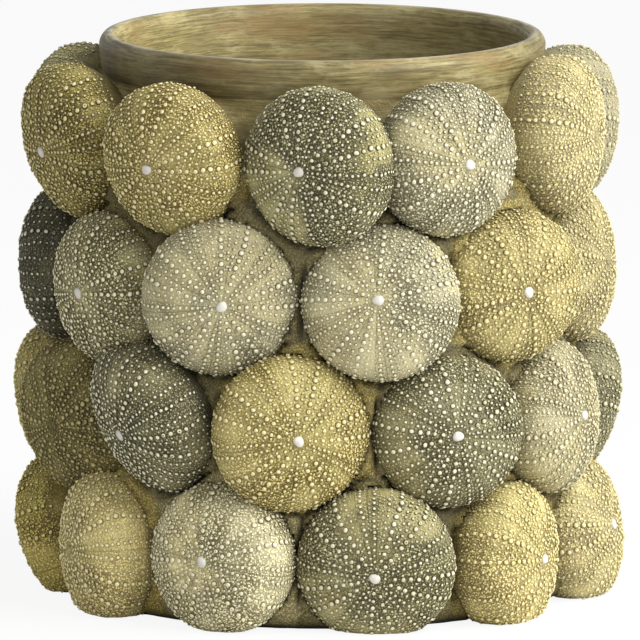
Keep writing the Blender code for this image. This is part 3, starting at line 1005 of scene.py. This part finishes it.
def pot_profile():
    """Radius, height and sheen along the pot's outline, from under its foot over the lip and down inside.

    The band bellies out by half a sine wave, the lip is half an ellipse, and the floor meets the wall in a
    quarter circle. The sheen is painted: a grey line that peaks along the crest of the lip.
    """
    arc = np.linspace(0, math.pi, LIP_STEPS)
    middle = (LIP_RADIUS + MOUTH_RADIUS) / 2
    half = (LIP_RADIUS - MOUTH_RADIUS) / 2
    band_rows = np.linspace(BAND_FOOT_HEIGHT, LIP_SPRING, BAND_STEPS)[:-1]
    belly = BELLY * np.sin(np.linspace(0, math.pi, BAND_STEPS)[:-1])
    inside_rows = np.linspace(LIP_SPRING, FLOOR_THICKNESS + FLOOR_FILLET, INSIDE_STEPS)[1:]
    fillet = np.linspace(0, math.pi / 2, FLOOR_STEPS)[1:]
    foot = np.array([
        (0, 0), (0.06, 0), (NECK_RADIUS - FOOT_CHAMFER, 0), (NECK_RADIUS, FOOT_CHAMFER), (NECK_RADIUS, 0.1),
        (NECK_RADIUS, BAND_FOOT_HEIGHT),
    ])
    pieces = [
        (*foot.T, np.zeros(len(foot))),
        (band_radius(band_rows) + belly, band_rows, np.linspace(0, 0.15, len(band_rows))),
        (middle + half * np.cos(arc), LIP_SPRING + (LIP_ROUND_HEIGHT + LIP_PROUD) * np.sin(arc),
         np.sin(arc) ** 3),
        (np.full(len(inside_rows), MOUTH_RADIUS), inside_rows, np.zeros(len(inside_rows))),
        (MOUTH_RADIUS - FLOOR_FILLET * (1 - np.cos(fillet)),
         FLOOR_THICKNESS + FLOOR_FILLET * (1 - np.sin(fillet)), np.zeros(len(fillet))),
        (np.array([0.05, 0.02, 0.0]), np.full(3, FLOOR_THICKNESS), np.zeros(3)),
    ]
    return [np.concatenate(values) for values in zip(*pieces)]


def pot_painted_light(azimuth, height, inside):
    """How light the pot's paint is made, mostly painted light: darker outside, most so low on the band."""
    # Outside: painted light towards the key lamp and painted shade away from it, with slow waves round it
    round_it = 0.60 + 0.24 * np.cos(azimuth - 0.75) + 0.10 * np.sin(3 * azimuth + 0.4)
    low = smooth_step((LIP_SPRING - height) / (16 * MM))
    outer = round_it * (1 - 0.30 * low)
    # Inside: painted light on the left wall, which faces the key lamp, and painted shade on the right
    inner = 0.835 - 0.28 * np.sin(azimuth + 0.35) - 0.08 * np.cos(2 * azimuth)
    return np.where(inside, inner, outer)


def make_pot(paint):
    """The pot: its outline turned about Z, with the slow wander of a hand-thrown wall."""
    radius, height, crest_sheen = pot_profile()
    turn = np.arange(POT_COLUMNS) * TAU / POT_COLUMNS
    inner_radius, inner_height = radius[1:-1], height[1:-1]
    wander = 0.12 * MM * np.sin(3 * turn + 0.6) * np.sin(2 * turn) + 0.05 * MM * np.sin(7 * turn + 2)
    throwing = 0.10 * MM * np.sin(inner_height * 620)
    grid_radius = inner_radius[:, None] + wander - 0.15 * MM + throwing[:, None]
    grid_height = np.broadcast_to(inner_height[:, None], grid_radius.shape)
    points = on_wall(grid_radius, turn, grid_height).reshape(-1, 3)
    points = np.concatenate([points, [(0, 0, height[0]), (0, 0, height[-1])]])
    rings = len(inner_radius)
    relief = np.concatenate([np.repeat(crest_sheen[1:-1], POT_COLUMNS), [0, 0]])
    inside = np.arange(rings)[:, None] > np.argmax(inner_height)
    tone = np.append(pot_painted_light(turn[None], grid_height, inside).ravel(), [1, 1])
    numbers = {"relief": relief, "tone": tone}
    mesh = fill_mesh("painted_pot", points, closed_faces(rings, POT_COLUMNS, forwards=False), numbers)
    add_piece("painted_pot", mesh, [paint], "pot_glaze", "pot")


# Materials

def plug(tree, node, inputs):
    """Sets a node's inputs, each to a number, a colour or another node's output."""
    for name, value in inputs.items():
        if isinstance(value, bpy.types.NodeSocket):
            tree.links.new(value, node.inputs[name])
        else:
            node.inputs[name].default_value = value


def add_node(tree, kind, inputs=None, **settings):
    """A new node with its inputs and its settings."""
    made = tree.nodes.new(kind)
    for name, value in settings.items():
        setattr(made, name, value)
    plug(tree, made, inputs or {})
    return made


def new_paint(name):
    """A material with its shader, and the piece's own coordinates."""
    material = bpy.data.materials.new(name)
    material.use_nodes = True
    tree = material.node_tree
    shader = tree.nodes["Principled BSDF"]
    place = add_node(tree, "ShaderNodeTexCoord").outputs["Object"]
    return material, tree, shader, place


def opaque(colour):
    return (*colour, 1.0)


def painted_on(tree, name):
    """The number that the piece's mesh holds under a name."""
    return add_node(tree, "ShaderNodeAttribute", attribute_name=name).outputs["Fac"]


def mixed(tree, factor, first, second):
    """Colour mixed from first to second by a factor."""
    made = add_node(tree, "ShaderNodeMix", {0: factor, 6: first, 7: second}, data_type="RGBA")
    return made.outputs[2]


def stepped(tree, value, start, end, low=0.0, high=1.0):
    """A smooth step of a value, from low at start to high at end."""
    inputs = {0: value, 1: start, 2: end, 3: low, 4: high}
    return add_node(tree, "ShaderNodeMapRange", inputs, interpolation_type="SMOOTHSTEP").outputs[0]


def layered(tree, colour, layers):
    """A colour with others over it, each by a smooth step of a value.

    A layer is its value, where the step starts and ends, how much it covers at most, and its colour.
    """
    for value, start, end, most, over in layers:
        colour = mixed(tree, stepped(tree, value, start, end, 0.0, most), colour, over)
    return colour


def combined(tree, first, second, operation="ADD"):
    return add_node(tree, "ShaderNodeMath", {0: first, 1: second}, operation=operation).outputs[0]


def size_of(tree, value):
    return add_node(tree, "ShaderNodeMath", {0: value}, operation="ABSOLUTE").outputs[0]


def scaled(tree, colour, share):
    made = add_node(tree, "ShaderNodeVectorMath", {0: colour, "Scale": share}, operation="SCALE")
    return made.outputs["Vector"]


def noise(tree, place, scale, detail=3.0, roughness=0.55):
    inputs = {"Vector": place, "Scale": scale, "Detail": detail, "Roughness": roughness}
    return add_node(tree, "ShaderNodeTexNoise", inputs).outputs["Fac"]


def specks(tree, place, scale):
    """1 in the middle of each grain of a Voronoi texture, falling to 0 between the grains."""
    grain = add_node(tree, "ShaderNodeTexVoronoi", {"Vector": place, "Scale": scale, "Randomness": 1.0})
    return stepped(tree, grain.outputs["Distance"], 0.60, 0.15)


def stretched(tree, place, scale, slide=(0, 0, 0)):
    made = add_node(tree, "ShaderNodeMapping", {"Vector": place, "Scale": scale, "Location": slide})
    return made.outputs["Vector"]


def bumped(tree, height, depth, normal=None, strength=1.0):
    inputs = {"Height": height, "Distance": depth, "Strength": strength}
    if normal is not None:
        inputs["Normal"] = normal
    return add_node(tree, "ShaderNodeBump", inputs).outputs["Normal"]


def suture_lines(tree):
    """1 along the seams of the plates, from the UV map: beside each narrow zone and down the middles."""
    plates = add_node(tree, "ShaderNodeUVMap", uv_map="plates").outputs["UV"]
    split = add_node(tree, "ShaderNodeSeparateXYZ", {0: plates})
    fifth = add_node(tree, "ShaderNodeMath", {0: split.outputs["X"]}, operation="FRACT").outputs[0]
    from_narrow = size_of(tree, combined(tree, fifth, 0.5, "SUBTRACT"))
    beside = size_of(tree, combined(tree, from_narrow, NARROW_HALF, "SUBTRACT"))
    middle = combined(tree, combined(tree, 0.5, from_narrow, "SUBTRACT"), 0.004)
    nearest = combined(tree, beside, combined(tree, middle, from_narrow, "MINIMUM"), "MINIMUM")
    across = combined(tree, nearest, split.outputs["Y"], "MULTIPLY")
    millimetres = combined(tree, across, TAU / 5, "MULTIPLY")
    return stepped(tree, millimetres, 0.42, 0.12)


def shell_glaze(name, shade, plain, light, patch, tip):
    """A washed glaze: dark in hollows and seams, stippled on the ground, bare on the bosses' tips."""
    # Its tone, rub and chalk numbers carry painted light as well as the glaze's own colour, rubbing and
    # dust.
    material, tree, shader, place = new_paint(f"glaze_{name}")
    shade, plain, light, patch = [opaque(colour) for colour in (shade, plain, light, patch)]
    relief, tone, rub, chalk = [painted_on(tree, look) for look in ("relief", "tone", "rub", "chalk")]
    mottle = noise(tree, place, 210.0, 4.0, 0.6)
    drift = noise(tree, place, 38.0, 2.0, 0.5)
    patches = noise(tree, stretched(tree, place, (1, 1, 1), (0.31, 0.17, 0.53)), 24.0, 3.0, 0.5)
    speck = specks(tree, place, GLAZE_GRAIN)
    lines = suture_lines(tree)
    ground = layered(tree, shade, (
        (speck, 0.05, 0.65, 1.0, plain),
        (patches, 0.50, 0.62, 0.85, patch),
        (speck, 0.45, 1.0, 0.85, light),
        (mottle, 0.60, 0.36, 0.35, shade),
        (drift, 0.42, 0.66, 0.35, light),
    ))
    ground = mixed(tree, combined(tree, lines, 0.45, "MULTIPLY"), ground, shade)
    boss = mixed(tree, stepped(tree, relief, 0.32, 0.62), ground, light)
    # With a low rub, on shells that face the key lamp, the hollows are less dark and the tips less bare, as
    # painted light washing them out; above 1 the tips are lighter, as painted highlights.
    sunk = stepped(tree, relief, 0.22, 0.03, 0.0, 0.85)
    hollow = combined(tree, sunk, combined(tree, rub, 1.0, "MINIMUM"), "MULTIPLY")
    washed = mixed(tree, hollow, scaled(tree, boss, tone), shade)
    bare = combined(tree, stepped(tree, relief, 0.62, 0.95), rub, "MULTIPLY")
    tip_and_highlight = scaled(tree, tip, combined(tree, rub, 1.0, "MAXIMUM"))
    # The chalk number lays a pale wash over it: partly dust, partly painted light on shells facing the
    # lamp.
    colour = mixed(tree, chalk, mixed(tree, bare, washed, tip_and_highlight), opaque(CHALK_AND_HIGHLIGHT))
    roughness = stepped(tree, mottle, 0.3, 0.7, 0.82, 0.66)
    fine = noise(tree, place, 2600.0, 2.0)
    normal = bumped(tree, speck, 0.20 * MM, strength=0.7)
    normal = bumped(tree, fine, 0.05 * MM, normal, strength=0.6)
    normal = bumped(tree, combined(tree, 1.0, lines, "SUBTRACT"), 0.15 * MM, normal, strength=0.7)
    plug(tree, shader, {"Base Color": colour, "Roughness": roughness, "Normal": normal})
    return material


def bead_glaze():
    """The off-white bead, satin and faintly clouded."""
    material, tree, shader, place = new_paint("bead_white")
    cloud = stepped(tree, noise(tree, place, 420.0), 0.3, 0.7)
    colour = mixed(tree, cloud, opaque(BEAD_WHITE), opaque(BEAD_CLOUD))
    normal = bumped(tree, noise(tree, place, 900.0), 0.06 * MM)
    plug(tree, shader, {"Base Color": colour, "Roughness": 0.45, "Normal": normal})
    return material


def brush_strokes(tree, place, dark, plain, pale, rust):
    """Fine brush strokes round the vessel: noise drawn out round Z, hardly bent, with clouds and stains."""
    dark, plain, pale, rust = [opaque(colour) for colour in (dark, plain, pale, rust)]
    wander = add_node(tree, "ShaderNodeTexNoise", {"Vector": place, "Scale": 26.0, "Detail": 3.0})
    bend = {0: wander.outputs["Color"], 1: (0.0, 0.0, 0.0045)}
    bend = add_node(tree, "ShaderNodeVectorMath", bend, operation="MULTIPLY").outputs["Vector"]
    bent = add_node(tree, "ShaderNodeVectorMath", {0: place, 1: bend}, operation="ADD").outputs["Vector"]
    strokes = noise(tree, stretched(tree, bent, (46, 46, 1100)), 1.0, 6.0, 0.72)
    hairs = noise(tree, stretched(tree, bent, (170, 170, 3600), (3, 1, 7)), 1.0, 3.0, 0.7)
    clouds = noise(tree, stretched(tree, place, (15, 15, 60)), 1.0, 4.0, 0.6)
    blotches = noise(tree, stretched(tree, place, (70, 70, 150), (0.6, 0.2, 0.4)), 1.0, 5.0, 0.65)
    stains = noise(tree, stretched(tree, place, (21, 21, 70), (0.3, 0.9, 0.2)), 1.0, 5.0, 0.65)
    body = mixed(tree, stepped(tree, strokes, 0.36, 0.56, 0.15, 1.0), dark, plain)
    body = layered(tree, body, (
        (strokes, 0.52, 0.72, 0.9, pale),
        (clouds, 0.50, 0.70, 0.5, pale),
        (clouds, 0.46, 0.30, 0.65, dark),
        (blotches, 0.52, 0.70, 0.55, pale),
        (blotches, 0.48, 0.32, 0.45, dark),
        (stains, 0.52, 0.66, 0.55, rust),
        (hairs, 0.52, 0.66, 0.6, dark),
    ))
    normal = bumped(tree, strokes, 0.07 * MM, strength=0.5)
    return body, strokes, bumped(tree, hairs, 0.03 * MM, normal, strength=0.5)


def pot_paint():
    """The pot's satin paint, with a painted grey sheen along the crest of the lip."""
    material, tree, shader, place = new_paint("pot_paint")
    body, strokes, normal = brush_strokes(tree, place, *POT_STROKES)
    # Painted sheen: a grey line along the crest of the lip, broken up by the strokes. The tone number that
    # scales the paint is mostly painted light.
    sheen_mask = combined(tree, painted_on(tree, "relief"), combined(tree, strokes, 0.5, "MULTIPLY"))
    wear_and_sheen = stepped(tree, sheen_mask, 1.05, 1.30, 0.0, 0.75)
    body = mixed(tree, wear_and_sheen, scaled(tree, body, painted_on(tree, "tone")), opaque(LIP_SHEEN))
    roughness = stepped(tree, strokes, 0.3, 0.7, 0.62, 0.48)
    plug(tree, shader, {
        "Base Color": body, "Roughness": roughness, "Specular IOR Level": 0.4, "Normal": normal,
    })
    return material


def bed_plaster():
    """The bed's paint: the pot's strokes under its band, and below a grainy wash in the shells' glazes."""
    material, tree, shader, place = new_paint("bed_plaster")
    brushed, _, normal = brush_strokes(tree, place, *BED_STROKES)
    mottle = noise(tree, place, 160.0, 4.0, 0.6)
    drift = noise(tree, place, 30.0, 3.0, 0.5)
    speck = specks(tree, place, PLASTER_GRAIN)
    owned = add_node(tree, "ShaderNodeAttribute", attribute_name="wash").outputs["Color"]
    dark, light = scaled(tree, owned, 0.32), scaled(tree, owned, 1.45)
    wash = mixed(tree, stepped(tree, speck, 0.0, 0.6, 0.2, 1.0), dark, owned)
    wash = layered(tree, wash, (
        (speck, 0.5, 1.0, 0.8, light),
        (mottle, 0.50, 0.64, 0.5, opaque(BARE_PLASTER)),
        (drift, 0.50, 0.34, 0.5, dark),
        (painted_on(tree, "relief"), 0.32, 0.66, 0.8, light),
    ))
    height = add_node(tree, "ShaderNodeSeparateXYZ", {0: place}).outputs["Z"]
    height = combined(tree, height, combined(tree, mottle, 0.012, "MULTIPLY"))
    top = stepped(tree, height, BED_TOP - 24 * MM, BED_TOP - 10 * MM)
    # The tone number that scales the plaster is its painted light and shade.
    colour = scaled(tree, mixed(tree, top, wash, brushed), painted_on(tree, "tone"))
    normal = bumped(tree, speck, 0.22 * MM, normal, strength=0.6)
    normal = bumped(tree, noise(tree, place, 700.0, 4.0), 0.15 * MM, normal, strength=0.6)
    plug(tree, shader, {"Base Color": colour, "Roughness": 0.72, "Normal": normal})
    return material


# Studio

# Softboxes: azimuth and elevation in degrees, distance and size in metres, power in watts
KEY_LIGHT = (62, 36, 1.6, 1.5, 45.5)
FILL_LIGHT = (-14, 22, 2.2, 1.6, 8.7)
AMBIENT = 0.345
CAMERA_PLACE = (-0.00093, -4.7658, 0.8777)
CAMERA_PITCH = 9.139
CAMERA_LENS = 661.35
CAMERA_SENSOR = 36.0
FLOOR_SPAN = 9.0
FLOOR_WHITE = (0.86, 0.86, 0.85)
FLOOR_GLOW = 0.9
LAYOUT_SLACK = 1.2 * MM


def add_softbox(name, azimuth, elevation, distance, size, power):
    """A square lamp that faces the middle of the vase."""
    lamp = bpy.data.lights.new(name, "AREA")
    lamp.shape = "SQUARE"
    lamp.size = size
    lamp.energy = power
    holder = place_object(name, lamp)
    turn, rise = math.radians(azimuth), math.radians(elevation)
    level = math.cos(rise)
    direction = Vector((math.sin(turn) * level, -math.cos(turn) * level, math.sin(rise)))
    holder.location = direction * distance + Vector((0, 0, POT_HEIGHT / 2))
    holder.rotation_euler = direction.to_track_quat("Z", "Y").to_euler()


def seen_directly(tree):
    """1 for rays that show what lies behind the vase: from the camera, mirrored or let through."""
    path = add_node(tree, "ShaderNodeLightPath")
    seen = combined(tree, path.outputs["Is Camera Ray"], path.outputs["Is Glossy Ray"], "MAXIMUM")
    return combined(tree, seen, path.outputs["Is Transmission Ray"], "MAXIMUM")


def make_world():
    """A white surround where it is seen, and an even low light elsewhere."""
    world = bpy.data.worlds.new("studio")
    bpy.context.scene.world = world
    world.use_nodes = True
    tree = world.node_tree
    inputs = {0: seen_directly(tree), 1: 0.0, 2: 1.0, 3: AMBIENT, 4: 1.0}
    level = add_node(tree, "ShaderNodeMapRange", inputs).outputs[0]
    plug(tree, tree.nodes["Background"], {"Color": (1, 1, 1, 1), "Strength": level})


def make_floor():
    """A plain pale floor that keeps the vase's shadow."""
    half = FLOOR_SPAN / 2
    points = np.array([(-half, -half, 0), (half, -half, 0), (half, half, 0), (-half, half, 0)], dtype=float)
    mesh = fill_mesh("floor", points, [np.array([[0, 1, 2, 3]])])
    floor = place_object("floor", mesh)
    material = bpy.data.materials.new("floor_white")
    material.use_nodes = True
    tree = material.node_tree
    shader = tree.nodes["Principled BSDF"]
    plug(tree, shader, {"Base Color": opaque(FLOOR_WHITE), "Roughness": 0.9})
    glow = add_node(tree, "ShaderNodeEmission", {"Color": (1, 1, 1, 1), "Strength": 1.0})
    path = add_node(tree, "ShaderNodeLightPath")
    share = combined(tree, path.outputs["Is Camera Ray"], FLOOR_GLOW, "MULTIPLY")
    both = add_node(tree, "ShaderNodeMixShader", {0: share, 1: shader.outputs[0], 2: glow.outputs[0]})
    plug(tree, tree.nodes["Material Output"], {"Surface": both.outputs[0]})
    mesh.materials.append(material)


def make_camera():
    """The camera of the photograph, level sideways and looking down a little."""
    lens = bpy.data.cameras.new("camera")
    lens.lens = CAMERA_LENS
    lens.sensor_width = CAMERA_SENSOR
    lens.clip_end = 100
    camera = place_object("camera", lens)
    camera.location = CAMERA_PLACE
    camera.rotation_euler = (math.radians(90 - CAMERA_PITCH), 0, 0)
    bpy.context.scene.camera = camera


def check_layout(shells):
    """Stops the script if a shell's place here isn't the place of its CAD node."""
    for shell in shells:
        outline = shell_outline(shell.radius)
        turn = np.linspace(0, TAU, 73)
        along = np.linspace(0, outline[0][-1], 60)
        points = on_outline(outline, *[grid.ravel() for grid in np.meshgrid(along, turn)])[0]
        points = to_world(shell.place, points)
        low, high = [np.array(corner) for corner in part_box(f"urchin_{shell.name}")]
        below = low < points.min(axis=0) - LAYOUT_SLACK
        if (below | (high > points.max(axis=0) + LAYOUT_SLACK)).any():
            raise ValueError(f"urchin_{shell.name} isn't where this script puts it")


shells = [shell for number, row in enumerate(ROWS_FROM_TOP, start=1) for shell in row_layout(number, row)]
check_layout(shells)
make_camera()
make_world()
make_floor()
add_softbox("key", *KEY_LIGHT)
add_softbox("fill", *FILL_LIGHT)

bed = plaster_grid(shells)
glazes = {name: shell_glaze(name, *tones) for name, tones in GLAZES.items()}
bead_paint = bead_glaze()
for shell in shells:
    make_shell(shell, shells, bed, glazes, bead_paint)
make_bed(shells, bed, bed_plaster())
make_pot(pot_paint())

bpy.context.scene.view_settings.view_transform = "Standard"
